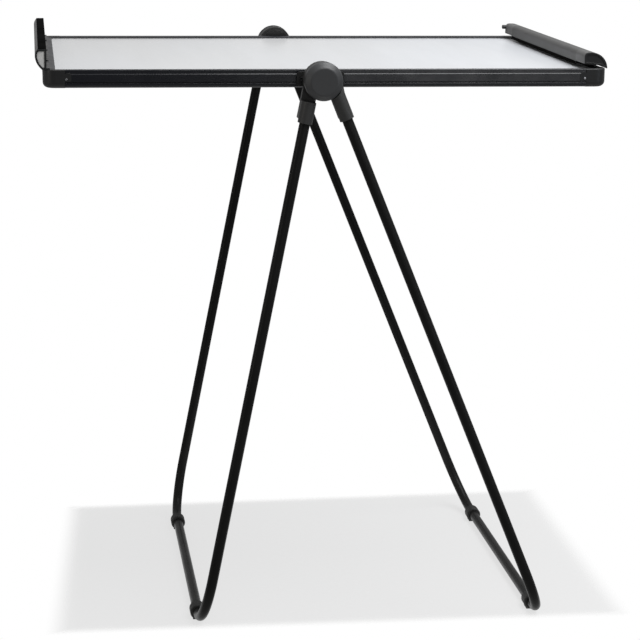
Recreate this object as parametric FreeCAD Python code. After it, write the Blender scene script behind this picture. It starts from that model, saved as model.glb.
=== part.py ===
import FreeCAD
import Part
import math
import os

# A folding presentation easel with its board turned level.
# X runs along the board (tray end at -X, clamp end at +X), Y across it, Z up.
# The origin is on the floor, under the middle of the whole object. Lengths are in mm.

# ---- driving dimensions ----
BOARD_LENGTH = 1000.0
BOARD_WIDTH = 700.0
HUB_HEIGHT = 1017.0           # hub axis above the floor
FRONT_ANGLE = 10.8            # front legs from the vertical, degrees
REAR_ANGLE = 22.3             # rear legs from the vertical, degrees
HUB_TO_BOARD_CENTRE = 16.0    # the board's middle is this far towards the clamp end

TUBE_R = 9.5
TUBE_WALL = 1.2
TUBE_Y = 389.0                # leg tube centre lines
FRONT_TUBE_OFFSET = 17.2      # leg tube centre lines from the hub axis
REAR_TUBE_OFFSET = 14.4
BEND_R = 102.0
CROSSBAR_Z = 14.5             # crossbar centre above the floor
GLIDE_R = 14.5
GLIDE_WIDTH = 28.0
GLIDE_INSET = 116.0           # glide centre, inwards of the leg tube centre line

RAIL_HEIGHT = 31.8
RAIL_WIDTH = 20.0
RAIL_LIP = 21.6               # the lip over the writing sheet
LIP_FLAT = 12.0               # its flat outer part
LIP_FALL = 2.0                # its sloping inner part falls by this
RAIL_RISE = 0.6               # rail mid-height above the hub axis
CORNER_LENGTH = 38.0
CORNER_R = 22.0               # plan radius of the board's corners

KNOB_R = 34.0
KNOB_DEPTH = 16.5
KNOB_FACE_R = 24.0            # the flat middle of the knob's face
DISC_R = 33.0
BOLT_R = 4.0
FIT = 0.05                    # radial running clearance
GAP = 0.3                     # clearance between moving faces

SLEEVE_R = 13.0
FRONT_SLEEVE_START = 40.0     # from the hub axis, along the leg
REAR_SLEEVE_START = 20.0      # scooped round the knob above this
SLEEVE_END = 78.0
TUBE_START = 48.0

TRAY_BULGE = 13.5             # how far the tray stands out past the board's end
TRAY_BULGE_UP = 22.0          # height of its widest place above the rails
TRAY_HEIGHT = 35.2
TRAY_HALF = 342.0
TRAY_WALL = 2.4
CLAMP_TIP = 5.3               # how far the clamp bar stands out past the board's end
CLAMP_TIP_UP = -1.0           # the lower edge of its rounded back, from the rails' top
CLAMP_REACH = 36.5            # clamp bar's upright face, inwards of the board's end
CLAMP_HEIGHT = 27.0
CLAMP_HALF = 330.0            # over the end caps
CLAMP_BODY_HALF = 264.0       # the extrusion between the caps
CLAMP_WALL = 1.6
CLAMP_FLAT = 21.0             # the bar's flat top ends this far inside the board's end

# ---- worked out from them ----
BOARD_X = (TRAY_BULGE - CLAMP_TIP) / 2
HUB_X = BOARD_X - HUB_TO_BOARD_CENTRE
LEFT_END = BOARD_X - BOARD_LENGTH / 2
RIGHT_END = BOARD_X + BOARD_LENGTH / 2
HALF_WIDTH = BOARD_WIDTH / 2
RAIL_MID = HUB_HEIGHT + RAIL_RISE
RAIL_TOP = RAIL_MID + RAIL_HEIGHT / 2

X = FreeCAD.Vector(1, 0, 0)
Y = FreeCAD.Vector(0, 1, 0)
Z = FreeCAD.Vector(0, 0, 1)
ORIGIN = FreeCAD.Vector(0, 0, 0)
vec = FreeCAD.Vector


# ---- small helpers ----
def save(name, shape):
    solids = shape.Solids
    shape = solids[0] if len(solids) == 1 else Part.makeCompound(solids)
    shape.exportStep("parts/" + name + ".step")


def mirrored(shape):
    """The same piece on the far side of the object."""
    return shape.mirror(ORIGIN, Y)


def save_pair(name, shape):
    save(name + "_near", shape)
    save(name + "_far", mirrored(shape))


def box(low, high):
    size = vec(*high) - vec(*low)
    return Part.makeBox(size.x, size.y, size.z, vec(*low))


def rod(radius, start, end):
    start = vec(*start)
    along = vec(*end) - start
    return Part.makeCylinder(radius, along.Length, start, along)


def near_rod(radius, depth_in, depth_out, x=HUB_X, z=HUB_HEIGHT):
    """A cylinder across the object on the near side, between two distances from the middle."""
    return rod(radius, (x, -depth_in, z), (x, -depth_out, z))


def joined(shapes):
    return shapes[0].multiFuse(shapes[1:]).removeSplitter() if len(shapes) > 1 else shapes[0]


def line(a, b):
    return Part.LineSegment(vec(*a), vec(*b)).toShape()


def arc(a, b, c):
    return Part.Arc(vec(*a), vec(*b), vec(*c)).toShape()


def corner_arc(start, corner, end):
    """A quarter-like arc from start to end, tangent to both lines that meet at corner."""
    start, corner, end = vec(*start), vec(*corner), vec(*end)
    a = (start - corner).normalize()
    b = (end - corner).normalize()
    half = a.getAngle(b) / 2
    reach = (start - corner).Length
    radius = reach * math.tan(half)
    centre = corner + (a + b).normalize() * (reach / math.cos(half))
    middle = centre + (corner - centre).normalize() * radius
    return Part.Arc(start, middle, end).toShape()


def prism(edges, along):
    return Part.Face(Part.Wire(edges)).extrude(vec(*along))


def polygon(points):
    points = [vec(*p) for p in points]
    return Part.makePolygon(points + points[:1]).Edges


def pipe(edges, radius, start, tangent):
    profile = Part.Wire(Part.makeCircle(radius, vec(*start), vec(*tangent)))
    return Part.Wire(edges).makePipeShell([profile], True, False)


# ---- board frame ----
LEDGE = 1.2                   # the upper band of a rail's face is set back by this
PANEL_RECESS = 4.0            # the writing sheet below the rails' top
SHEET_SLOT_TOP = RAIL_HEIGHT / 2 - PANEL_RECESS + 0.2
PANEL_THICKNESS = 8.0
PANEL_BASE = SHEET_SLOT_TOP - PANEL_THICKNESS - 0.2
SLOT_DEPTH = 4.5              # the rail's outer wall, beside the panel's edge
PANEL_EDGE = 5.0              # the panel stops this far inside the board's outline
SHEET_THICKNESS = 1.0


def rail_section(place, proud=0.0, grooved=True, bottom_r=6.0):
    """Edges of a rail's section; place turns (distance inwards, height from rail middle) into a point."""
    half = RAIL_HEIGHT / 2
    lo = -half - proud
    out = -proud
    set_back = LEDGE if grooved else 0.0
    upper = out + set_back
    points = [(RAIL_LIP, half - LIP_FALL), (LIP_FLAT, half), (upper + 1.5, half), (upper, half - 1.5)]
    if grooved:
        points += [(upper, 8.8), (out, 8.8 - LEDGE), (out, -5.4), (out + 1.6, -6.0),
                   (out + 1.6, -7.2), (out, -7.8)]
    points += [(out, lo + bottom_r), (out + bottom_r, lo), (RAIL_WIDTH, lo), (RAIL_WIDTH, PANEL_BASE),
               (SLOT_DEPTH, PANEL_BASE), (SLOT_DEPTH, SHEET_SLOT_TOP), (RAIL_LIP, SHEET_SLOT_TOP)]
    rounded = {2: (upper, half)}
    rounded[points.index((out, lo + bottom_r))] = (out, lo)
    edges = []
    for i, start in enumerate(points):
        end = points[(i + 1) % len(points)]
        if i in rounded:
            edges.append(corner_arc(place(*start), place(*rounded[i]), place(*end)))
        else:
            edges.append(line(place(*start), place(*end)))
    return edges


# a rail's hollow: inwards from, to, height from, to
HOLLOW = (3.6, 17.6, 2.1 - RAIL_HEIGHT / 2, PANEL_BASE - 2.0)


def long_rail():
    """The near long rail, a hollow extrusion between two corner caps."""
    x0 = LEFT_END + CORNER_LENGTH
    length = BOARD_LENGTH - 2 * CORNER_LENGTH
    body = prism(rail_section(lambda a, h: (x0, -HALF_WIDTH + a, RAIL_MID + h)), (length, 0, 0))
    a0, a1, h0, h1 = HOLLOW
    hollow = box((x0 - 1, -HALF_WIDTH + a0, RAIL_MID + h0),
                 (x0 + length + 1, -HALF_WIDTH + a1, RAIL_MID + h1))
    return body.cut(hollow)


def short_rail(end_x, inwards):
    """An end rail; inwards is +1 at the tray end and -1 at the clamp end."""
    y0 = -HALF_WIDTH + CORNER_LENGTH
    length = BOARD_WIDTH - 2 * CORNER_LENGTH
    place = lambda a, h: (end_x + inwards * a, y0, RAIL_MID + h)
    body = prism(rail_section(place), (0, length, 0))
    a0, a1, h0, h1 = HOLLOW
    xs = sorted((end_x + inwards * a0, end_x + inwards * a1))
    hollow = box((xs[0], y0 - 1, RAIL_MID + h0), (xs[1], y0 + length + 1, RAIL_MID + h1))
    return body.cut(hollow)


TENON = 24.0                  # the corner cap's plugs inside the rails
TENON_GAP = 0.2
CORNER_SCREW_IN = 50.0        # corner screws, from the board's end


CORNER_PROUD = 0.6
CORNER_BOTTOM_R = 10.0


def corner_section(place):
    return rail_section(place, CORNER_PROUD, False, CORNER_BOTTOM_R)


def corner_cap():
    """The near corner cap at the tray end: two short runs and a quarter turn of one section."""
    x0, y0 = LEFT_END, -HALF_WIDTH
    run = CORNER_LENGTH - CORNER_R
    along_x = prism(corner_section(lambda a, h: (x0 + CORNER_R, y0 + a, RAIL_MID + h)), (run, 0, 0))
    along_y = prism(corner_section(lambda a, h: (x0 + a, y0 + CORNER_R, RAIL_MID + h)), (0, run, 0))
    section = corner_section(lambda a, h: (x0 + CORNER_R, y0 + a, RAIL_MID + h))
    turn = Part.Face(Part.Wire(section)).revolve(vec(x0 + CORNER_R, y0 + CORNER_R, 0), Z, -90)
    a0, a1, h0, h1 = HOLLOW
    a0, a1, h0, h1 = a0 + TENON_GAP, a1 - TENON_GAP, h0 + TENON_GAP, h1 - TENON_GAP
    plug_x = box((x0 + CORNER_LENGTH - 2, y0 + a0, RAIL_MID + h0),
                 (x0 + CORNER_LENGTH + TENON, y0 + a1, RAIL_MID + h1))
    plug_y = box((x0 + a0, y0 + CORNER_LENGTH - 2, RAIL_MID + h0),
                 (x0 + a1, y0 + CORNER_LENGTH + TENON, RAIL_MID + h1))
    tongue = corner_tongue(x0, y0)
    return joined([along_x, turn, along_y, plug_x, plug_y, tongue])


TONGUE_WIDTH = 12.0
TONGUE_LOW = -4.4             # its flat lower end, from the rail's middle
TONGUE_HIGH = 11.0
RIVET_R = 2.0


def corner_tongue(x0, y0):
    """The small arched tongue of the cap that laps over the long rail's face."""
    left, right = x0 + CORNER_LENGTH - 1, x0 + CORNER_LENGTH - 1 + TONGUE_WIDTH
    low, high = RAIL_MID + TONGUE_LOW, RAIL_MID + TONGUE_HIGH
    spring = high - TONGUE_WIDTH / 2
    edges = [line((left, y0, low), (right, y0, low)),
             line((right, y0, low), (right, y0, spring)),
             arc((right, y0, spring), ((left + right) / 2, y0, high), (left, y0, spring)),
             line((left, y0, spring), (left, y0, low))]
    return prism(edges, (0, -CORNER_PROUD, 0))


def corner_rivet():
    """The near rivet through the tongue at the tray end, its low head on the tongue."""
    x = LEFT_END + CORNER_LENGTH + RIVET_R + 0.2
    z = RAIL_MID + TONGUE_LOW + 4.0
    return rod(RIVET_R, (x, -HALF_WIDTH - CORNER_PROUD - 0.7, z), (x, -HALF_WIDTH + 3.0, z))


def at_other_end(shape):
    """The tray-end piece mirrored to the clamp end of the board."""
    return shape.mirror(vec(BOARD_X, 0, 0), X)


def pan_screw(x, y, z, direction, head_r=3.2, head=1.8, shank_r=1.7, shank=9.0):
    """A pan-head screw: its head stands proud of the point, against direction."""
    d = vec(*direction)
    head_shape = Part.makeCylinder(head_r, head, vec(x, y, z) - d * head, d)
    rim = [e for e in head_shape.Edges if (e.CenterOfMass - (vec(x, y, z) - d * head)).Length < 0.01]
    head_shape = head_shape.makeFillet(head * 0.6, rim)
    slot = Part.makeBox(head_r * 1.1, 0.8, 0.9, vec(-head_r * 0.55, -0.4, 0))
    slot = slot.fuse(Part.makeBox(0.8, head_r * 1.1, 0.9, vec(-0.4, -head_r * 0.55, 0)))
    slot.Placement = FreeCAD.Placement(vec(x, y, z) - d * head, FreeCAD.Rotation(Z, d))
    return head_shape.cut(slot).fuse(Part.makeCylinder(shank_r, shank, vec(x, y, z), d))


def panel_layer(height_from, height_to, edge):
    """One flat layer of the panel with its rounded corners."""
    x0, x1 = LEFT_END + edge, RIGHT_END - edge
    y0, y1 = -HALF_WIDTH + edge, HALF_WIDTH - edge
    layer = box((x0, y0, RAIL_MID + height_from), (x1, y1, RAIL_MID + height_to))
    uprights = [e for e in layer.Edges if abs(e.tangentAt(e.FirstParameter).z) > 0.9]
    return layer.makeFillet(CORNER_R - edge, uprights)


def board_frame():
    rail = long_rail()
    screw_x = [LEFT_END + CORNER_SCREW_IN, RIGHT_END - CORNER_SCREW_IN]
    bottom = RAIL_MID - RAIL_HEIGHT / 2
    shank_r = 1.7
    drills = []
    screws = []
    head_r, head = 3.2, 1.0
    for x in screw_x:
        y = -HALF_WIDTH + RAIL_WIDTH / 2
        drills.append(rod(shank_r + FIT, (x, y, bottom - 1), (x, y, bottom + head + 9.5)))
        drills.append(rod(head_r + 0.2, (x, y, bottom - 1), (x, y, bottom + head)))
        screws.append(pan_screw(x, y, bottom + head, (0, 0, 1), head_r, head, shank_r))
    rivet = corner_rivet()
    rivets = [rivet, at_other_end(rivet)]
    drill = Part.makeCompound(drills + rivets)
    rail = rail.cut(drill)
    save_pair("rail", rail.cut(bracket_drills()))
    save("rail_tray_end", short_rail(LEFT_END, 1))
    save("rail_clamp_end", short_rail(RIGHT_END, -1).cut(clamp_screw_drills()))
    cap = corner_cap().cut(drill)
    save_pair("corner_tray_end", cap)
    save_pair("corner_clamp_end", at_other_end(cap))
    save("corner_screws", Part.makeCompound(screws + [mirrored(s) for s in screws]))
    save("corner_rivets", Part.makeCompound(rivets + [mirrored(r) for r in rivets]))
    top = PANEL_BASE + PANEL_THICKNESS
    save("panel_back", panel_layer(PANEL_BASE, PANEL_BASE + SHEET_THICKNESS, PANEL_EDGE))
    save("panel_core", panel_layer(PANEL_BASE + SHEET_THICKNESS, top - SHEET_THICKNESS, PANEL_EDGE))
    save("panel_face", panel_layer(top - SHEET_THICKNESS, top, PANEL_EDGE))


# ---- hubs: distances from the object's middle, outwards ----
PLATE_OUT = HALF_WIDTH + 5.0
BOSS_OUT = PLATE_OUT + 8.5
WASHER = 1.0
DISC_THICKNESS = 12.4
FRONT_DISC_IN = BOSS_OUT + WASHER + GAP
FRONT_DISC_OUT = FRONT_DISC_IN + DISC_THICKNESS
REAR_DISC_IN = FRONT_DISC_OUT + WASHER + 2 * GAP
REAR_DISC_OUT = REAR_DISC_IN + DISC_THICKNESS
KNOB_IN = REAR_DISC_OUT + WASHER + 2 * GAP
KNOB_OUT = KNOB_IN + KNOB_DEPTH
INSERT_R = 8.0
BRACKET_HALF = 42.0
BRACKET_SCREW_X = 34.0
BRACKET_SCREW_R = 2.0


def bracket_drills():
    holes = []
    for side in (-1, 1):
        x = HUB_X + side * BRACKET_SCREW_X
        holes.append(near_rod(BRACKET_SCREW_R + FIT, HALF_WIDTH - 6, PLATE_OUT + 1, x, RAIL_MID))
    return Part.makeCompound(holes)


def hub_bracket():
    """The plate on a long rail, with the round boss that carries the pivot bolt."""
    half_height = 12.5
    plate = box((HUB_X - BRACKET_HALF, -PLATE_OUT, RAIL_MID - half_height),
                (HUB_X + BRACKET_HALF, -HALF_WIDTH, RAIL_MID + half_height))
    uprights = [e for e in plate.Edges if abs(e.tangentAt(e.FirstParameter).y) > 0.9]
    plate = plate.makeFillet(5.0, uprights)
    boss = near_rod(28.0, PLATE_OUT - 1, BOSS_OUT)
    bore = near_rod(BOLT_R, HALF_WIDTH + 1, BOSS_OUT + 1)
    return joined([plate, boss]).cut(bore).cut(bracket_drills())


def washer(inner, thickness, radius=20.0):
    ring = near_rod(radius, inner, inner + thickness)
    return ring.cut(near_rod(BOLT_R + FIT, inner - 1, inner + thickness + 1))


def knob_cap():
    """A round knob with a broad sloping rim, a flat face, and a hollow back around its insert."""
    side = KNOB_IN + 8.0
    soft = 3.0
    slope = vec(KNOB_FACE_R - KNOB_R, 0, KNOB_OUT - side).normalize()
    edges = [line((0, -KNOB_IN, 0), (KNOB_R, -KNOB_IN, 0)),
             line((KNOB_R, -KNOB_IN, 0), (KNOB_R, -side + soft, 0)),
             corner_arc((KNOB_R, -side + soft, 0), (KNOB_R, -side, 0),
                        (KNOB_R + slope.x * soft, -side - slope.z * soft, 0)),
             line((KNOB_R + slope.x * soft, -side - slope.z * soft, 0),
                  (KNOB_FACE_R - slope.x * 2.0, -KNOB_OUT + slope.z * 2.0, 0)),
             corner_arc((KNOB_FACE_R - slope.x * 2.0, -KNOB_OUT + slope.z * 2.0, 0),
                        (KNOB_FACE_R, -KNOB_OUT, 0), (KNOB_FACE_R - 2.0, -KNOB_OUT, 0)),
             line((KNOB_FACE_R - 2.0, -KNOB_OUT, 0), (0, -KNOB_OUT, 0)),
             line((0, -KNOB_OUT, 0), (0, -KNOB_IN, 0))]
    body = Part.Face(Part.Wire(edges)).revolve(ORIGIN, Y, 360)
    body.translate(vec(HUB_X, 0, HUB_HEIGHT))
    hollow = near_rod(KNOB_R - 4.0, KNOB_IN - 1, KNOB_IN + 5.0)
    hollow = hollow.cut(near_rod(INSERT_R + 4.5, KNOB_IN - 2, KNOB_IN + 6.0))
    socket = near_rod(INSERT_R, KNOB_IN - 1, KNOB_IN + 12.0)
    return body.cut(hollow).cut(socket)


def hubs():
    save_pair("hub_bracket", hub_bracket())
    save_pair("pivot_bolt", near_rod(BOLT_R, HALF_WIDTH + 1, KNOB_IN + 11.0))
    screws = []
    for side in (-1, 1):
        screws.append(pan_screw(HUB_X + side * BRACKET_SCREW_X, -PLATE_OUT, RAIL_MID, (0, 1, 0),
                                3.8, 2.2, BRACKET_SCREW_R, 10.0))
    save("bracket_screws", Part.makeCompound(screws + [mirrored(s) for s in screws]))
    starts = (BOSS_OUT, FRONT_DISC_OUT + GAP, REAR_DISC_OUT + GAP)
    washers = [washer(start, WASHER) for start in starts]
    save("friction_washers", Part.makeCompound(washers + [mirrored(w) for w in washers]))
    save_pair("knob_cap", knob_cap())
    insert = near_rod(INSERT_R, KNOB_IN, KNOB_IN + 12.0)
    save_pair("knob_insert", insert.cut(near_rod(BOLT_R + FIT, KNOB_IN - 1, KNOB_IN + 11.5)))


# ---- leg frames, built hanging straight down from the hub axis at the origin ----
ARM_SCREW_AT = 64.0
ARM_SCREW_R = 2.0
SWAGE = 12.0                  # the crossbar's reduced ends inside the leg tubes


NECK_DEPTH = 60.0


def front_hub_arm():
    """The near front arm: a disc on the bolt, a flat neck, and a sleeve that holds the leg tube."""
    disc_in, disc_out = FRONT_DISC_IN, FRONT_DISC_OUT
    outer, inner = -FRONT_TUBE_OFFSET - SLEEVE_R, -FRONT_TUBE_OFFSET + SLEEVE_R
    disc = rod(DISC_R, (0, -disc_in, 0), (0, -disc_out, 0))
    neck = box((outer, -disc_out, -NECK_DEPTH), (inner, -disc_in, -BOLT_R * 2))
    block = box((outer, -TUBE_Y, -SLEEVE_END + 6), (inner, -disc_in, -FRONT_SLEEVE_START))
    return joined([disc, neck, block, arm_sleeve(-FRONT_TUBE_OFFSET, FRONT_SLEEVE_START)])


def rear_hub_arm():
    """The near rear arm: its sleeve runs up to the knob and is scooped out round it."""
    disc_in, disc_out = REAR_DISC_IN, REAR_DISC_OUT
    outer, inner = REAR_TUBE_OFFSET + SLEEVE_R, REAR_TUBE_OFFSET - SLEEVE_R
    disc = rod(DISC_R, (0, -disc_in, 0), (0, -disc_out, 0))
    cheek = prism(polygon([(inner, -disc_in, 0), (DISC_R, -disc_in, 0),
                           (outer, -disc_in, -DISC_R), (outer, -disc_in, -SLEEVE_END + 6),
                           (inner, -disc_in, -SLEEVE_END + 6)]), (0, disc_in - disc_out, 0))
    sleeve = arm_sleeve(REAR_TUBE_OFFSET, REAR_SLEEVE_START)
    sleeve = sleeve.cut(rod(KNOB_R + 0.6, (0, -disc_out, 0), (0, -KNOB_OUT - 1, 0)))
    sleeve = sleeve.cut(rod(DISC_R + 0.6, (0, -disc_in, 0), (0, -HALF_WIDTH, 0)))
    return joined([disc, cheek, sleeve])


def arm_sleeve(x, start):
    return rod(SLEEVE_R, (x, -TUBE_Y, -start), (x, -TUBE_Y, -SLEEVE_END))


def bored(arm, x, disc_in, disc_out):
    """Adds the arm's holes for the leg tube, the pivot bolt and the fixing screw."""
    arm = arm.cut(rod(TUBE_R + 0.1, (x, -TUBE_Y, -TUBE_START), (x, -TUBE_Y, -SLEEVE_END - 1)))
    arm = arm.cut(rod(BOLT_R + FIT, (0, -disc_in + 1, 0), (0, -disc_out - 1, 0)))
    return arm.cut(arm_screw_drill(x, disc_in))


def arm_screw_drill(x, disc_in):
    seat = rod(4.4, (x, -disc_in + 10, -ARM_SCREW_AT), (x, -arm_screw_seat(), -ARM_SCREW_AT))
    return seat.fuse(rod(ARM_SCREW_R + FIT, (x, -TUBE_Y + 30, -ARM_SCREW_AT), (x, -TUBE_Y, -ARM_SCREW_AT)))


def arm_screw_seat():
    """Where the screw's head sits: a little outside the tube, on its inner side."""
    return TUBE_Y - TUBE_R - 1.6


def leg_length(angle, x):
    """From the hub axis along the leg to the crossbar's centre line, which lies CROSSBAR_Z up."""
    a = math.radians(angle)
    return (HUB_HEIGHT + abs(x) * math.sin(a) - CROSSBAR_Z) / math.cos(a)


def leg_tube(x, length):
    """The near bent tube: down the leg, a quarter bend, and a short end under the glide."""
    top = (x, -TUBE_Y, -TUBE_START)
    bend = (x, -TUBE_Y, -length + BEND_R)
    middle = (x, -TUBE_Y + BEND_R * (1 - math.cos(math.pi / 4)),
              -length + BEND_R * (1 - math.sin(math.pi / 4)))
    flat = (x, -TUBE_Y + BEND_R, -length)
    end = (x, -TUBE_Y + GLIDE_INSET, -length)
    path = [line(top, bend), arc(bend, middle, flat), line(flat, end)]
    tube = pipe(path, TUBE_R, top, (0, 0, -1)).cut(pipe(path, TUBE_R - TUBE_WALL, top, (0, 0, -1)))
    seat = arm_screw_seat()
    hole = rod(ARM_SCREW_R + FIT, (x, -seat + 2, -ARM_SCREW_AT), (x, -TUBE_Y, -ARM_SCREW_AT))
    return tube.cut(hole)


def crossbar(x, length):
    y = TUBE_Y - GLIDE_INSET
    bar = rod(TUBE_R, (x, -y, -length), (x, y, -length))
    ends = rod(TUBE_R - TUBE_WALL - 0.05, (x, -y - SWAGE, -length), (x, y + SWAGE, -length))
    bore = rod(TUBE_R - 2 * TUBE_WALL, (x, -y - SWAGE - 1, -length), (x, y + SWAGE + 1, -length))
    return joined([bar, ends]).cut(bore)


def foot_glide(x, z):
    """A moulded collar round the near end of a crossbar, with a flat foot on the floor."""
    y0 = -TUBE_Y + GLIDE_INSET - GLIDE_WIDTH / 2
    y1 = y0 + GLIDE_WIDTH
    collar = rod(GLIDE_R, (x, y0, z), (x, y1, z))
    rims = [e for e in collar.Edges if e.Length > 60]
    collar = collar.makeFillet(2.5, rims)
    foot = box((x - 9, y0 + 3, 0), (x + 9, y1 - 3, z))
    return joined([collar, foot]).cut(rod(TUBE_R, (x, y0 - 1, z), (x, y1 + 1, z)))


def leg_frame(name, side, angle, disc_in, disc_out):
    """One U-shaped leg frame; side is -1 for the front frame and +1 for the rear one."""
    x = side * (FRONT_TUBE_OFFSET if side < 0 else REAR_TUBE_OFFSET)
    length = leg_length(angle, x)

    def placed(shape):
        turned = shape.copy()
        turned.rotate(ORIGIN, Y, -side * angle)
        turned.translate(vec(HUB_X, 0, HUB_HEIGHT))
        return turned

    arm = front_hub_arm() if side < 0 else rear_hub_arm()
    save_pair(name + "_arm", placed(bored(arm, x, disc_in, disc_out)))
    save_pair(name + "_tube", placed(leg_tube(x, length)))
    save(name + "_crossbar", placed(crossbar(x, length)))
    screw = placed(pan_screw(x, -arm_screw_seat(), -ARM_SCREW_AT, (0, -1, 0),
                             4.0, 2.0, ARM_SCREW_R, 8.0))
    save(name + "_arm_screws", Part.makeCompound([screw, mirrored(screw)]))
    a = math.radians(angle)
    foot_x = HUB_X + side * length * math.sin(a) + x * math.cos(a)
    save_pair(name + "_glide", foot_glide(foot_x, CROSSBAR_Z))


# ---- marker tray ----
TRAY_FOOT = 12.0              # the tray's foot on the rail's lip
TRAY_LIP_FROM = -8.7          # the retaining lip, from the board's end
TRAY_LIP_TO = 6.3
TRAY_RING = 3.4               # width of the end frame's rim
TRAY_RING_THICKNESS = 3.0
TRAY_PLUG = 5.0
TRIM_THICKNESS = 1.3
TRAY_SCREW_SPACING = 210.0


def tray_point(inwards, up, y=-TRAY_HALF):
    return (LEFT_END + inwards, y, RAIL_TOP + up)


def tray_wires(offset):
    """Edges of the tray's outer curve, moved inwards by offset: a leaning front and a tucked-in top."""
    t = offset
    widest = tray_point(-TRAY_BULGE + t, TRAY_BULGE_UP)
    return [arc(tray_point(-1.5 + 1.1 * t, t), tray_point(-9.4 + 0.95 * t, 9.5 + 0.3 * t), widest),
            arc(widest, tray_point(-12.2 + 0.85 * t, 29.6 - 0.5 * t),
                tray_point(TRAY_LIP_FROM + 0.4 * t, TRAY_HEIGHT - t))]


def marker_tray():
    outer = tray_wires(0.0)
    inner = tray_wires(TRAY_WALL)
    t = TRAY_WALL
    edges = [line(tray_point(TRAY_FOOT, 0), tray_point(-1.5, 0))] + outer
    edges += [line(tray_point(TRAY_LIP_FROM, TRAY_HEIGHT), tray_point(TRAY_LIP_TO, TRAY_HEIGHT)),
              line(tray_point(TRAY_LIP_TO, TRAY_HEIGHT), tray_point(TRAY_LIP_TO, TRAY_HEIGHT - t)),
              line(tray_point(TRAY_LIP_TO, TRAY_HEIGHT - t),
                   tray_point(TRAY_LIP_FROM + 0.4 * t, TRAY_HEIGHT - t))]
    edges += inner[::-1]
    edges += [line(tray_point(-1.5 + 1.1 * t, t), tray_point(TRAY_FOOT, t)),
              line(tray_point(TRAY_FOOT, t), tray_point(TRAY_FOOT, 0))]
    tray = prism(Part.__sortEdges__(edges), (0, 2 * TRAY_HALF, 0))
    for screw in tray_screws():
        tray = tray.cut(rod(1.6, (screw[0], screw[1], RAIL_TOP - 1), (screw[0], screw[1], RAIL_TOP + t + 1)))
    return tray


def tray_screws():
    x = LEFT_END + TRAY_FOOT - 3.6
    return [(x, k * TRAY_SCREW_SPACING) for k in (-1, 0, 1)]


def tray_outline():
    """The closed outline of the tray's near end."""
    right = TRAY_LIP_TO
    edges = tray_wires(0.0)
    edges += [line(tray_point(TRAY_LIP_FROM, TRAY_HEIGHT), tray_point(right, TRAY_HEIGHT)),
              line(tray_point(right, TRAY_HEIGHT), tray_point(right, 0)),
              line(tray_point(right, 0), tray_point(-1.5, 0))]
    return Part.Face(Part.Wire(Part.__sortEdges__(edges)))


def tray_end():
    """The near end frame: a rim round the open end of the trough."""
    ring = tray_outline().extrude(vec(0, -TRAY_RING_THICKNESS, 0))
    window = tray_outline().makeOffset2D(-TRAY_RING).extrude(vec(0, -TRAY_RING_THICKNESS, 0))
    return ring.cut(window)


def tray_plug():
    """The plug that fills the near end frame and reaches a little into the trough."""
    plug = tray_outline().makeOffset2D(-TRAY_RING).extrude(vec(0, TRAY_PLUG, 0))
    plug.translate(vec(0, 1.2 - TRAY_RING_THICKNESS, 0))
    return plug


def tray():
    save("marker_tray", marker_tray())
    save_pair("tray_end", tray_end())
    save_pair("tray_plug", tray_plug())
    x0, x1 = LEFT_END + TRAY_LIP_FROM + 0.3, LEFT_END + TRAY_LIP_TO
    lip_top = RAIL_TOP + TRAY_HEIGHT
    trim = box((x0, -TRAY_HALF, lip_top), (x1, TRAY_HALF, lip_top + TRIM_THICKNESS))
    long_edges = [e for e in trim.Edges if e.Length > 100 and e.CenterOfMass.z > lip_top + 1]
    save("tray_lip_trim", trim.makeFillet(0.9, long_edges))
    screws = [pan_screw(x, y, RAIL_TOP + TRAY_WALL, (0, 0, -1), 3.0, 1.6, 1.5, 2.3)
              for x, y in tray_screws()]
    save("tray_screws", Part.makeCompound(screws))


# ---- flip-chart clamp ----
ROD_X = RIGHT_END + 0.4
ROD_Z = RAIL_TOP + 3.4
ROD_R = 1.5
KNUCKLE_R = 2.6
LUG_SPACING = 120.0
LUG_THICKNESS = 6.0
BASE_WIDTH = 11.0
BASE_INSET = 5.0
BASE_THICKNESS = 1.5
BASE_HALF = 250.0
LIP_UP = 2.6                  # bottom of the bar's upright face above the rail's top
CAP_LIP_UP = 7.0              # bottom of the caps' face
CLAMP_SOFT = 8.0              # radius between the upright face and the flat top
CLAMP_PLUG = 4.0              # thickness of the black end piece
CLAMP_RIM = 3.2
CLAMP_SCREW_Y = (-210.0, -90.0, 90.0, 210.0)
RIB_Y = 180.0                 # the bar's inner ribs, from its middle
RIB_HALF = 2.0
CAP_TONGUE = 12.0
PEG_R = 4.1
PEG_REACH = 8.0
SPRING_TURNS = 6
SPRING_PITCH = 1.5
SPRING_WIRE_R = 0.4


def clamp_point(inwards, up, y=0.0):
    return (RIGHT_END - inwards, y, RAIL_TOP + up)


def clamp_curve(offset):
    """Points of the bar's curved back, from its flat top down to its tip, moved inwards by offset."""
    t = offset
    return [clamp_point(CLAMP_FLAT, CLAMP_HEIGHT - t),
            clamp_point(1.8 + 0.74 * t, 17.4 - 0.67 * t),
            clamp_point(-CLAMP_TIP + t, CLAMP_TIP_UP)]


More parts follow.
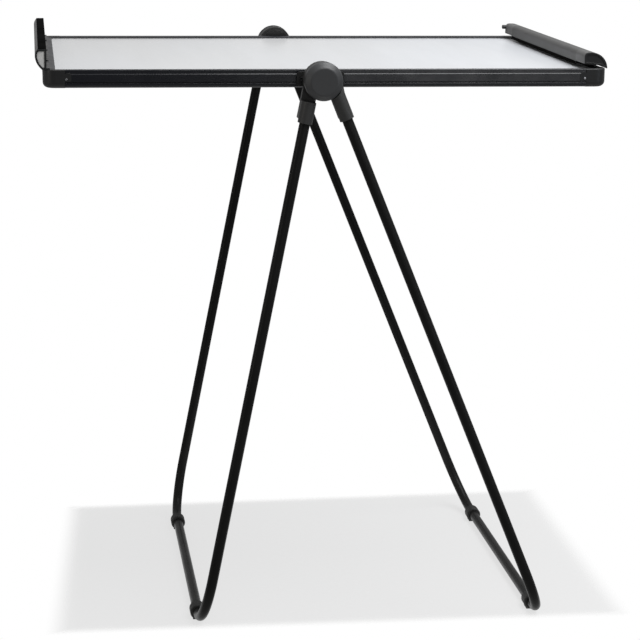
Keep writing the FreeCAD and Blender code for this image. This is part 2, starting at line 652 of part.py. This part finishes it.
def clamp_shell(lip_up, y0, y1):
    """A length of the bar's section: upright face, flat top and rounded back."""
    t = CLAMP_WALL
    outer, inner = clamp_curve(0.0), clamp_curve(t)
    reach, top, soft = CLAMP_REACH, CLAMP_HEIGHT, CLAMP_SOFT
    edges = [line(clamp_point(reach, lip_up), clamp_point(reach, top - soft)),
             corner_arc(clamp_point(reach, top - soft), clamp_point(reach, top),
                        clamp_point(reach - soft, top)),
             line(clamp_point(reach - soft, top), outer[0]),
             arc(*outer),
             line(outer[2], inner[2]),
             arc(inner[2], inner[1], inner[0]),
             line(inner[0], clamp_point(reach - soft, top - t)),
             corner_arc(clamp_point(reach - soft, top - t), clamp_point(reach - t, top - t),
                        clamp_point(reach - t, top - soft)),
             line(clamp_point(reach - t, top - soft), clamp_point(reach - t, lip_up)),
             line(clamp_point(reach - t, lip_up), clamp_point(reach, lip_up))]
    shell = prism(edges, (0, y1 - y0, 0))
    shell.translate(vec(0, y0, 0))
    return shell


def clamp_bar():
    """The long extrusion, with two inner ribs that turn on the hinge rod."""
    solids = [clamp_shell(LIP_UP, -CLAMP_BODY_HALF, CLAMP_BODY_HALF)]
    for y in (-RIB_Y, RIB_Y):
        y0, y1 = y - RIB_HALF, y + RIB_HALF
        rib = rod(KNUCKLE_R, (ROD_X, y0, ROD_Z), (ROD_X, y1, ROD_Z))
        arm = prism(polygon([(ROD_X - KNUCKLE_R, y0, ROD_Z), (ROD_X + KNUCKLE_R, y0, ROD_Z),
                             (ROD_X + 2.0, y0, ROD_Z + 8.0), (ROD_X - 3.0, y0, ROD_Z + 16.0),
                             (ROD_X - 8.0, y0, ROD_Z + 18.0)]), (0, 2 * RIB_HALF, 0))
        solids.append(rib.fuse(arm).cut(rod(ROD_R + FIT, (ROD_X, y0 - 1, ROD_Z), (ROD_X, y1 + 1, ROD_Z))))
    return joined(solids)


def clamp_end_face():
    """The closed outline of the bar's end, in the middle plane."""
    outer = clamp_curve(0.0)
    reach, top, soft = CLAMP_REACH, CLAMP_HEIGHT, CLAMP_SOFT
    start = clamp_point(reach, CAP_LIP_UP)
    edges = [line(start, clamp_point(reach, top - soft)),
             corner_arc(clamp_point(reach, top - soft), clamp_point(reach, top),
                        clamp_point(reach - soft, top)),
             line(clamp_point(reach - soft, top), outer[0]),
             arc(*outer)]
    corners = [outer[2], clamp_point(-CLAMP_TIP + CLAMP_WALL, CLAMP_TIP_UP), clamp_point(-1.0, 1.2),
               clamp_point(5.0, 4.0), start]
    for a, b in zip(corners, corners[1:]):
        edges.append(line(a, b))
    return Part.Face(Part.Wire(edges))


def clamp_plug():
    """The black near end piece, with a shallow recess and the bore for the hinge rod."""
    plug = clamp_end_face().extrude(vec(0, CLAMP_PLUG, 0))
    recess = clamp_end_face().makeOffset2D(-CLAMP_RIM).extrude(vec(0, 1.4, 0))
    plug = plug.cut(recess)
    plug.translate(vec(0, -CLAMP_HALF, 0))
    bore = rod(ROD_R, (ROD_X, -CLAMP_HALF + 1.6, ROD_Z), (ROD_X, -CLAMP_HALF + CLAMP_PLUG + 1, ROD_Z))
    return plug.cut(bore)


def clamp_cap():
    """The near cap between the extrusion and its black end piece, with a tongue into the extrusion."""
    shell = clamp_shell(CAP_LIP_UP, -CLAMP_HALF + CLAMP_PLUG, -CLAMP_BODY_HALF)
    under = CLAMP_HEIGHT - CLAMP_WALL
    root = box(clamp_point(CLAMP_REACH - CLAMP_SOFT, under - 3.5, -CLAMP_BODY_HALF - CAP_TONGUE),
               clamp_point(CLAMP_FLAT, under + 0.5, -CLAMP_BODY_HALF))
    tongue = box(clamp_point(CLAMP_REACH - CLAMP_SOFT, under - 3.5, -CLAMP_BODY_HALF - 1),
                 clamp_point(CLAMP_FLAT, under - 0.1, -CLAMP_BODY_HALF + CAP_TONGUE))
    return joined([shell, root, tongue])


def clamp_base():
    """The strip screwed to the rail's lip, with the lugs that carry the hinge rod."""
    x0, x1 = RIGHT_END - BASE_INSET - BASE_WIDTH, RIGHT_END - BASE_INSET
    solids = [box((x0, -BASE_HALF, RAIL_TOP), (x1, BASE_HALF, RAIL_TOP + BASE_THICKNESS))]
    for k in (-2, -1, 0, 1, 2):
        y = k * LUG_SPACING
        y0, y1 = y - LUG_THICKNESS / 2, y + LUG_THICKNESS / 2
        solids.append(rod(KNUCKLE_R, (ROD_X, y0, ROD_Z), (ROD_X, y1, ROD_Z)))
        solids.append(prism(polygon([(x0 + 2, y0, RAIL_TOP), (RIGHT_END - 2.0, y0, RAIL_TOP),
                                     (ROD_X, y0, ROD_Z - KNUCKLE_R), (ROD_X, y0, ROD_Z + KNUCKLE_R)]),
                            (0, LUG_THICKNESS, 0)))
    base = joined(solids)
    base = base.cut(rod(ROD_R, (ROD_X, -BASE_HALF, ROD_Z), (ROD_X, BASE_HALF, ROD_Z)))
    return base.cut(clamp_screw_drills())


def clamp_screw_x():
    return RIGHT_END - BASE_INSET - 2.4


def clamp_screw_drills():
    x = clamp_screw_x()
    holes = [rod(1.2 + FIT, (x, y, RAIL_TOP - 1.6), (x, y, RAIL_TOP + 4)) for y in CLAMP_SCREW_Y]
    return Part.makeCompound(holes)


def clamp_spring():
    """The far torsion spring round the hinge rod, beside a rib."""
    radius = ROD_R + 0.15 + SPRING_WIRE_R
    helix = Part.makeHelix(SPRING_PITCH, SPRING_PITCH * SPRING_TURNS, radius)
    profile = Part.Wire(Part.makeCircle(SPRING_WIRE_R, vec(radius, 0, 0), Y))
    coil = Part.Wire(helix.Edges).makePipeShell([profile], True, True)
    coil.rotate(ORIGIN, X, -90)
    coil.translate(vec(ROD_X, RIB_Y + RIB_HALF + 2, ROD_Z))
    return coil


def clamp():
    save("clamp_base", clamp_base())
    rod_half = CLAMP_HALF - 1.6
    save("clamp_hinge_rod", rod(ROD_R, (ROD_X, -rod_half, ROD_Z), (ROD_X, rod_half, ROD_Z)))
    x = clamp_screw_x()
    seat = RAIL_TOP + BASE_THICKNESS
    screws = [pan_screw(x, y, seat, (0, 0, -1), 2.2, 1.3, 1.2, 2.8) for y in CLAMP_SCREW_Y]
    save("clamp_base_screws", Part.makeCompound(screws))
    save("clamp_springs", Part.makeCompound([mirrored(clamp_spring()), clamp_spring()]))
    save("clamp_bar", clamp_bar())
    peg_y, peg_up = CLAMP_HALF - PEG_R - 1.5, 20.2
    peg_root = clamp_point(CLAMP_REACH - 6, peg_up, peg_y)
    peg_hole = rod(PEG_R, clamp_point(CLAMP_REACH + 1, peg_up, peg_y), peg_root)
    save("clamp_cap_near", clamp_cap())
    save("clamp_cap_far", mirrored(clamp_cap()).cut(peg_hole))
    save("clamp_plug_near", clamp_plug())
    save("clamp_plug_far", mirrored(clamp_plug()).cut(peg_hole))
    peg = rod(PEG_R, clamp_point(CLAMP_REACH + PEG_REACH, peg_up, peg_y), peg_root)
    tip = [e for e in peg.Edges if abs(e.CenterOfMass.x - (RIGHT_END - CLAMP_REACH - PEG_REACH)) < 0.01]
    save("clamp_peg", peg.makeFillet(1.6, tip))
    wall, half = CLAMP_WALL, CLAMP_BODY_HALF
    strip = box((RIGHT_END - CLAMP_REACH - 0.8, -half, RAIL_TOP + LIP_UP - 2.0),
                (RIGHT_END - CLAMP_REACH + wall + 0.8, half, RAIL_TOP + LIP_UP + 3.4))
    slot = box((RIGHT_END - CLAMP_REACH, -half - 1, RAIL_TOP + LIP_UP),
               (RIGHT_END - CLAMP_REACH + wall, half + 1, RAIL_TOP + LIP_UP + 5))
    save("clamp_grip_strip", strip.cut(slot))


os.makedirs("parts", exist_ok=True)
board_frame()
hubs()
leg_frame("front", -1, FRONT_ANGLE, FRONT_DISC_IN, FRONT_DISC_OUT)
leg_frame("rear", 1, REAR_ANGLE, REAR_DISC_IN, REAR_DISC_OUT)
tray()
clamp()
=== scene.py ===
"""A folding presentation easel with its board turned level, in a plain pale studio."""

import math

import bpy
from mathutils import Matrix, Vector

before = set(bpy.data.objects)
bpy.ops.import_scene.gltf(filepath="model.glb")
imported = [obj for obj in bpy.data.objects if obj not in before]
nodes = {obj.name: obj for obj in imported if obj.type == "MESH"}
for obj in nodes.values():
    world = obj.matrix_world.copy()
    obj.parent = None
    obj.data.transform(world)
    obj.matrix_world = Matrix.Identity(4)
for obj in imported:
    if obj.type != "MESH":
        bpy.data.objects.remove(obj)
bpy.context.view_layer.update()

# ---- camera ----
CAMERA_POINT = Vector((-0.5146, -4.0890, 1.4094))
CAMERA_YAW = math.radians(6.852)      # turned towards the clamp end
CAMERA_PITCH = math.radians(11.504)   # looking down
CAMERA_ROLL = -0.01
SENSOR_WIDTH = 36.0
FOCAL_LENGTH = 120.9
CAMERA_SHIFT = 0.05
VIEW_DEPTH = 50.0

# ---- studio: brightness of the surroundings ----
BACKDROP = (1.0, 1.0, 1.0, 1.0)       # what the camera sees behind the object
BACK_LIGHT = 0.34
FRONT_LIGHT = 0.06
FLOOR_LIGHT = 0.42
TOP_LIGHT = 0.42
# each fades in over this part of the direction's Y or Z
BACK_FADE = (-0.35, 0.45)
FLOOR_LIGHT_FADE = (-0.75, -0.15)
TOP_FADE = (0.15, 0.8)

# ---- studio: floor sheet ----
FLOOR_CORNERS = [(-0.51, -0.345), (0.605, -0.342), (0.612, 0.492), (-0.462, 0.452)]
FLOOR_STEPS = 48
FLOOR_FADE = 0.05                     # share of its width over which the sheet fades out
FLOOR_GLOW = 0.71
FLOOR_GREYS = (0.12, 0.135)
FLOOR_GLOW_GREYS = (0.98, 1.0)
FLOOR_FIBRE_SCALE = 120.0

# ---- studio: soft lights (point, target, size in metres, watts, colour) ----
LIGHTS = {
    "top_soft": ((1.15, -0.75, 3.4), (1.15, -0.75, 0.0), (2.2, 3.4), 122, (0.98, 0.99, 1.0)),
    "right_soft": ((3.0, -2.6, 1.3), (0.2, 0, 0.8), (0.7, 2.4), 10, (0.85, 0.92, 1.0)),
    "front_soft": ((1.4, -5.6, 0.5), (0.1, -0.35, 1.0), (1.4, 0.9), 6, (1.0, 1.0, 1.0)),
    "left_soft": ((-3.0, -1.6, 1.2), (0, 0, 0.6), (0.5, 2.4), 9, (1.0, 0.97, 0.9)),
}


def make_camera():
    """The camera stands in front of the tray end and looks slightly down and to the right."""
    data = bpy.data.cameras.new("camera")
    data.sensor_width = SENSOR_WIDTH
    data.lens = FOCAL_LENGTH
    data.shift_x = CAMERA_SHIFT
    data.shift_y = -CAMERA_SHIFT
    data.clip_end = VIEW_DEPTH
    yaw, pitch = CAMERA_YAW, CAMERA_PITCH
    forward = Vector((math.sin(yaw) * math.cos(pitch),
                      math.cos(yaw) * math.cos(pitch),
                      -math.sin(pitch)))
    level_right = Vector((math.cos(yaw), -math.sin(yaw), 0))
    level_down = forward.cross(level_right)
    right = math.cos(CAMERA_ROLL) * level_right + math.sin(CAMERA_ROLL) * level_down
    down = -math.sin(CAMERA_ROLL) * level_right + math.cos(CAMERA_ROLL) * level_down
    camera = bpy.data.objects.new("camera", data)
    bpy.context.scene.collection.objects.link(camera)
    turn = Matrix((right, -down, -forward)).transposed()
    camera.matrix_world = Matrix.Translation(CAMERA_POINT) @ turn.to_4x4()
    bpy.context.scene.camera = camera


# ---- node helpers ----
EDGE_SOFTNESS = 0.0008                # radius that sharp edges seem to have, in metres
EDGE_SAMPLES = 4


class Nodes:
    """A short way to write a node tree."""

    def __init__(self, tree):
        self.tree = tree

    def add(self, kind, inputs=None, **settings):
        node = self.tree.nodes.new(kind)
        for name, value in settings.items():
            setattr(node, name, value)
        for name, value in (inputs or {}).items():
            self.give(node.inputs[name], value)
        return node

    def give(self, socket, value):
        if isinstance(value, bpy.types.NodeSocket):
            self.tree.links.new(value, socket)
        else:
            socket.default_value = value

    def place(self, stretch=(1.0, 1.0, 1.0)):
        """Points of the object in metres, stretched along its axes."""
        coordinates = self.add("ShaderNodeTexCoord").outputs["Object"]
        inputs = {"Vector": coordinates, "Scale": stretch}
        return self.add("ShaderNodeMapping", inputs).outputs["Vector"]

    def noise(self, scale, detail=3.0, roughness=0.5, stretch=(1.0, 1.0, 1.0)):
        inputs = {"Vector": self.place(stretch), "Scale": scale,
                  "Detail": detail, "Roughness": roughness}
        return self.add("ShaderNodeTexNoise", inputs).outputs["Fac"]

    def span(self, value, low, high, start=0.0, end=1.0):
        """Moves a value that runs from start to end to one that runs from low to high."""
        inputs = {"Value": value, "From Min": start, "From Max": end, "To Min": low, "To Max": high}
        return self.add("ShaderNodeMapRange", inputs).outputs["Result"]

    def blend(self, share, first, second):
        node = self.add("ShaderNodeMix", data_type="RGBA")
        self.give(node.inputs[0], share)
        self.give(node.inputs[6], first)
        self.give(node.inputs[7], second)
        return node.outputs[2]

    def bump(self, height, strength, distance, normal=None):
        inputs = {"Height": height, "Strength": strength, "Distance": distance}
        if normal is not None:
            inputs["Normal"] = normal
        return self.add("ShaderNodeBump", inputs).outputs["Normal"]

    def soft_edges(self):
        """Normals that round every sharp edge off a little."""
        node = self.add("ShaderNodeBevel", {"Radius": EDGE_SOFTNESS}, samples=EDGE_SAMPLES)
        return node.outputs["Normal"]


def grey(value, tint=(1.0, 1.0, 1.0)):
    return (value * tint[0], value * tint[1], value * tint[2], 1.0)


def new_material(name, **constants):
    """A material with a Principled shader; constants go straight on the shader's sockets."""
    material = bpy.data.materials.new(name)
    material.use_nodes = True
    n = Nodes(material.node_tree)
    shader = material.node_tree.nodes["Principled BSDF"]
    for socket, value in constants.items():
        shader.inputs[socket.replace("_", " ")].default_value = value
    return material, n, shader


# sizes of the noises that every moulded or painted finish shares, in waves per metre
PATCH_SCALE = 9.0
RUB_SCALE = 55.0
SMUDGE_SCALE = 26.0
# the parts of a noise's range that are stretched over a whole change of shade or gloss
MIDDLE = (0.3, 0.7)
PEAKS = (0.62, 0.8)
UPPER = (0.3, 0.75)


def surface(name, shades, rough, grain, stretch=(1, 1, 1), scuff=None, **constants):
    """A general finish: two shades in soft patches, uneven gloss, and a fine bump.

    shades: two pairs of a grey and its tint. rough: lowest and highest roughness. grain: scale,
    strength and depth of the bump. stretch: how the grain runs. scuff: the grey of small rubs and
    how far they cover the colour."""
    material, n, shader = new_material(name, **constants)
    patches = n.noise(PATCH_SCALE, 4.0, 0.6)
    scale, strength, depth = grain
    texture = n.noise(scale, 3.0, 0.55, stretch)
    colour = n.blend(n.span(patches, 0.0, 1.0, *MIDDLE), grey(*shades[0]), grey(*shades[1]))
    if scuff is not None:
        rub = n.noise(RUB_SCALE, 6.0, 0.75)
        share = n.span(rub, 0.0, scuff[1], *PEAKS)
        colour = n.blend(share, colour, grey(scuff[0]))
    n.give(shader.inputs["Base Color"], colour)
    smudges = n.noise(SMUDGE_SCALE, 5.0, 0.6)
    n.give(shader.inputs["Roughness"], n.span(smudges, *rough, *UPPER))
    n.give(shader.inputs["Normal"], n.bump(texture, strength, depth, n.soft_edges()))
    return material


# ---- materials: one function or entry for each finish ----
WARM = (1.0, 0.99, 0.97)
COOL = (0.97, 0.99, 1.03)
# painted light: a navy tint in the rails' colour that stands in for bluish light falling from the
# right
PAINTED_BLUE_LIGHT_TINT = (0.85, 0.92, 1.2)
YELLOW = (1.2, 0.85, 0.4)
DARK_FIBRE = (0.30, 0.20, 0.12, 1.0)
LIGHT_FIBRE = (0.52, 0.39, 0.25, 1.0)


def writing_surface():
    """Glossy white dry-erase sheet with faint wiping marks along its width."""
    material, n, shader = new_material("writing_sheet", Coat_Weight=0.2, Coat_Roughness=0.12)
    haze = n.noise(2.5, 2.0, 0.4, (1.0, 0.3, 1.0))
    wipes = n.noise(11.0, 4.0, 0.55, (1.0, 0.12, 1.0))
    colour = n.blend(n.span(haze, 0.0, 1.0, *MIDDLE), grey(0.86), grey(0.875, COOL))
    colour = n.blend(n.span(wipes, 0.0, 0.05, 0.6, 0.85), colour, grey(0.78, COOL))
    n.give(shader.inputs["Base Color"], colour)
    n.give(shader.inputs["Roughness"], n.span(wipes, 0.2, 0.24, 0.35, 0.8))
    waves = n.noise(3.0, 1.0, 0.5, (1.0, 0.15, 1.0))
    n.give(shader.inputs["Normal"], n.bump(waves, 0.01, 0.0002))
    return material


def hardboard():
    """Raw board edge: short fibres in warm browns."""
    material, n, shader = new_material("hardboard", Specular_IOR_Level=0.2)
    fibres = n.noise(700.0, 5.0, 0.7, (1.0, 1.0, 3.0))
    n.give(shader.inputs["Base Color"], n.blend(fibres, DARK_FIBRE, LIGHT_FIBRE))
    n.give(shader.inputs["Roughness"], n.span(fibres, 0.7, 0.95))
    n.give(shader.inputs["Normal"], n.bump(fibres, 0.5, 0.0003))
    return material


LINE_SCALE = 900.0
HAZE_SCALE = 6.0


def brushed(name, shades, rough, stretch, **constants):
    """Metal with fine lines along its length."""
    material, n, shader = new_material(name, **constants)
    lines = n.noise(LINE_SCALE, 4.0, 0.6, stretch)
    haze = n.noise(HAZE_SCALE, 3.0, 0.6)
    colour = n.blend(n.span(lines, 0.0, 1.0, *MIDDLE), grey(*shades[0]), grey(*shades[1]))
    n.give(shader.inputs["Base Color"], colour)
    # the sum of two noises has its middle at twice theirs
    both = n.add("ShaderNodeMath", {0: lines, 1: haze}, operation="ADD").outputs[0]
    n.give(shader.inputs["Roughness"], n.span(both, *rough, 2 * MIDDLE[0], 2 * MIDDLE[1]))
    n.give(shader.inputs["Normal"], n.bump(lines, 0.12, 0.0001, n.soft_edges()))
    return material


def pair(low, high, tint=WARM):
    """Two shades of one tint."""
    return [(low, tint), (high, tint)]


def rail_finish(name, rough, stretch):
    """Black anodised aluminium with a painted navy tint that stands in for bluish light from the
    right; the rails differ in gloss and in the way the grain runs.
    """
    return surface(name, pair(0.011, 0.016, PAINTED_BLUE_LIGHT_TINT), rough, grain=(650, 0.10, 0.0002),
                   stretch=stretch, scuff=(0.05, 0.25))


def make_materials():
    # a grain drawn out along one axis
    along_x, along_y = (0.02, 1.0, 1.0), (1.0, 0.02, 1.0)
    return {
        "rail_long": rail_finish("anodised_long", (0.2, 0.3), along_x),
        "rail_short": rail_finish("anodised_short", (0.26, 0.4), along_y),
        "corner": surface("corner_moulding", pair(0.013, 0.019, COOL), rough=(0.38, 0.55),
                          grain=(2200, 0.25, 0.0001), scuff=(0.06, 0.3)),
        "knob": surface("knob_moulding", pair(0.050, 0.060, COOL), rough=(0.38, 0.5),
                        grain=(2600, 0.25, 0.0001), scuff=(0.08, 0.25)),
        "arm": surface("arm_moulding", pair(0.033, 0.042), rough=(0.40, 0.55),
                       grain=(2400, 0.3, 0.0001), scuff=(0.08, 0.3)),
        "cast": surface("cast_black", pair(0.014, 0.02), rough=(0.4, 0.55),
                        grain=(1300, 0.35, 0.00015)),
        "tube": surface("powder_coat", pair(0.013, 0.017), rough=(0.26, 0.38),
                        grain=(1100, 0.22, 0.00018), scuff=(0.035, 0.3), Specular_IOR_Level=0.11),
        "glide": surface("glide_rubber", pair(0.010, 0.02), rough=(0.5, 0.75),
                         grain=(1600, 0.4, 0.00015), scuff=(0.09, 0.5)),
        "tray": surface("tray_extrusion", pair(0.008, 0.012), rough=(0.22, 0.34),
                        grain=(700, 0.12, 0.0002), stretch=along_y, scuff=(0.04, 0.3)),
        "plug": surface("plug_moulding", pair(0.74, 0.82), rough=(0.4, 0.55),
                        grain=(2200, 0.2, 0.0001)),
        "backing": surface("backing_sheet", pair(0.42, 0.46, COOL), rough=(0.35, 0.5),
                           grain=(500, 0.08, 0.0002)),
        "rubber": surface("grip_rubber", pair(0.005, 0.009), rough=(0.55, 0.75),
                          grain=(1500, 0.4, 0.0001), Specular_IOR_Level=0.0),
        "screw": surface("black_zinc", pair(0.03, 0.045, COOL), rough=(0.25, 0.4),
                         grain=(1800, 0.15, 0.0001), Metallic=1.0),
        "nylon": surface("nylon", pair(0.62, 0.7), rough=(0.4, 0.5), grain=(1500, 0.1, 0.0001)),
        "zinc": brushed("zinc_plate", pair(0.45, 0.6, COOL), rough=(0.22, 0.38), stretch=along_y,
                        Metallic=1.0),
        "brass": brushed("brass", pair(0.45, 0.6, YELLOW), rough=(0.2, 0.35), stretch=(1, 1, 1),
                         Metallic=1.0),
        "clamp": brushed("satin_anodised", pair(0.080, 0.105), rough=(0.5, 0.62), stretch=along_y,
                         Specular_IOR_Level=0.3),
        "cap": surface("cap_moulding", pair(0.10, 0.12), rough=(0.5, 0.6),
                       grain=(2200, 0.2, 0.0001)),
        "sheet": writing_surface(),
        "core": hardboard(),
    }


# the first entry whose words start a node's name gives its finish
FINISH_OF = [
    ("rail_near", "rail_long"), ("rail_far", "rail_long"), ("rail_", "rail_short"),
    ("corner_screws", "screw"), ("corner_rivets", "zinc"), ("corner_", "corner"),
    ("panel_face", "sheet"), ("panel_core", "core"), ("panel_back", "backing"),
    ("hub_bracket", "cast"), ("bracket_screws", "screw"),
    ("pivot_bolt", "zinc"), ("friction_washers", "nylon"),
    ("knob_cap", "knob"), ("knob_insert", "brass"),
    ("front_arm_screws", "screw"), ("rear_arm_screws", "screw"), ("front_arm", "arm"),
    ("rear_arm", "arm"), ("front_glide", "glide"), ("rear_glide", "glide"), ("front_", "tube"),
    ("rear_", "tube"), ("marker_tray", "tray"), ("tray_plug", "plug"), ("tray_screws", "screw"),
    ("tray_end", "corner"), ("tray_lip_trim", "rubber"),
    ("clamp_base_screws", "screw"), ("clamp_base", "cast"), ("clamp_hinge_rod", "zinc"),
    ("clamp_springs", "zinc"), ("clamp_bar", "clamp"), ("clamp_grip_strip", "rubber"),
    ("clamp_cap", "cap"), ("clamp_plug", "corner"), ("clamp_peg", "corner"),
]


def dress_nodes(finishes):
    """Gives every CAD node its finish."""
    for name, piece in nodes.items():
        finish = next(f for start, f in FINISH_OF if name.startswith(start))
        piece.data.materials.clear()
        piece.data.materials.append(finishes[finish])


# ---- building the studio ----
def make_floor():
    """A plain pale floor sheet with soft borders; it glows a little, so that it looks even."""
    a, b, c, d = (Vector((x, y, 0)) for x, y in FLOOR_CORNERS)
    steps = FLOOR_STEPS
    points, shares, faces = [], [], []
    for j in range(steps + 1):
        for i in range(steps + 1):
            u, v = i / steps, j / steps
            points.append(a.lerp(b, u).lerp(d.lerp(c, u), v))
            border = min(u, 1 - u, v, 1 - v) / FLOOR_FADE
            shares.append(min(1.0, border))
    for j in range(steps):
        for i in range(steps):
            k = j * (steps + 1) + i
            faces.append((k, k + 1, k + steps + 2, k + steps + 1))
    mesh = bpy.data.meshes.new("floor")
    mesh.from_pydata(points, [], faces)
    mesh.attributes.new("border", "FLOAT", "POINT").data.foreach_set("value", shares)
    floor = bpy.data.objects.new("floor", mesh)
    bpy.context.scene.collection.objects.link(floor)
    material, n, shader = new_material("floor", Roughness=0.95, Specular_IOR_Level=0.0,
                                       Emission_Strength=FLOOR_GLOW)
    fibre = n.noise(FLOOR_FIBRE_SCALE, 4.0, 0.6)
    n.give(shader.inputs["Base Color"], n.blend(fibre, *map(grey, FLOOR_GREYS)))
    n.give(shader.inputs["Emission Color"], n.blend(fibre, *map(grey, FLOOR_GLOW_GREYS)))
    share = n.add("ShaderNodeAttribute", attribute_name="border").outputs["Fac"]
    n.give(shader.inputs["Alpha"], n.add("ShaderNodeMapRange", {"Value": share},
                                         interpolation_type="SMOOTHSTEP").outputs["Result"])
    mesh.materials.append(material)


def make_world():
    """Plain white for the camera. The light comes from behind, from above and off the floor, and
    hardly any from in front."""
    world = bpy.data.worlds.new("studio")
    bpy.context.scene.world = world
    world.use_nodes = True
    tree = world.node_tree
    tree.nodes.clear()
    n = Nodes(tree)
    direction = n.add("ShaderNodeTexCoord").outputs["Generated"]
    parts = n.add("ShaderNodeSeparateXYZ", {"Vector": direction})
    behind = n.span(parts.outputs["Y"], FRONT_LIGHT, BACK_LIGHT, *BACK_FADE)
    below = n.span(parts.outputs["Z"], FLOOR_LIGHT, 0.0, *FLOOR_LIGHT_FADE)
    above = n.span(parts.outputs["Z"], 0.0, TOP_LIGHT, *TOP_FADE)
    light = n.add("ShaderNodeMath", {0: behind, 1: below}, operation="MAXIMUM").outputs[0]
    light = n.add("ShaderNodeMath", {0: light, 1: above}, operation="MAXIMUM").outputs[0]
    soft = n.add("ShaderNodeBackground", {"Color": light, "Strength": 1.0})
    plain = n.add("ShaderNodeBackground", {"Color": BACKDROP, "Strength": 1.0})
    seen = n.add("ShaderNodeLightPath").outputs["Is Camera Ray"]
    mix = n.add("ShaderNodeMixShader", {0: seen, 1: soft.outputs[0], 2: plain.outputs[0]})
    n.add("ShaderNodeOutputWorld", {"Surface": mix.outputs[0]})


def make_lights():
    """A wide panel overhead to the right, tall ones at each side, cool right and warm left, and a
    low one in front."""
    for name, (point, target, size, power, colour) in LIGHTS.items():
        data = bpy.data.lights.new(name, "AREA")
        data.color = colour
        data.shape = "RECTANGLE"
        data.size, data.size_y = size
        data.energy = power
        light = bpy.data.objects.new(name, data)
        light.location = point
        aim = Vector(target) - Vector(point)
        light.rotation_euler = aim.to_track_quat("-Z", "Y").to_euler()
        bpy.context.scene.collection.objects.link(light)


bpy.context.scene.view_settings.view_transform = "Standard"
make_camera()
make_world()
make_lights()
make_floor()
dress_nodes(make_materials())
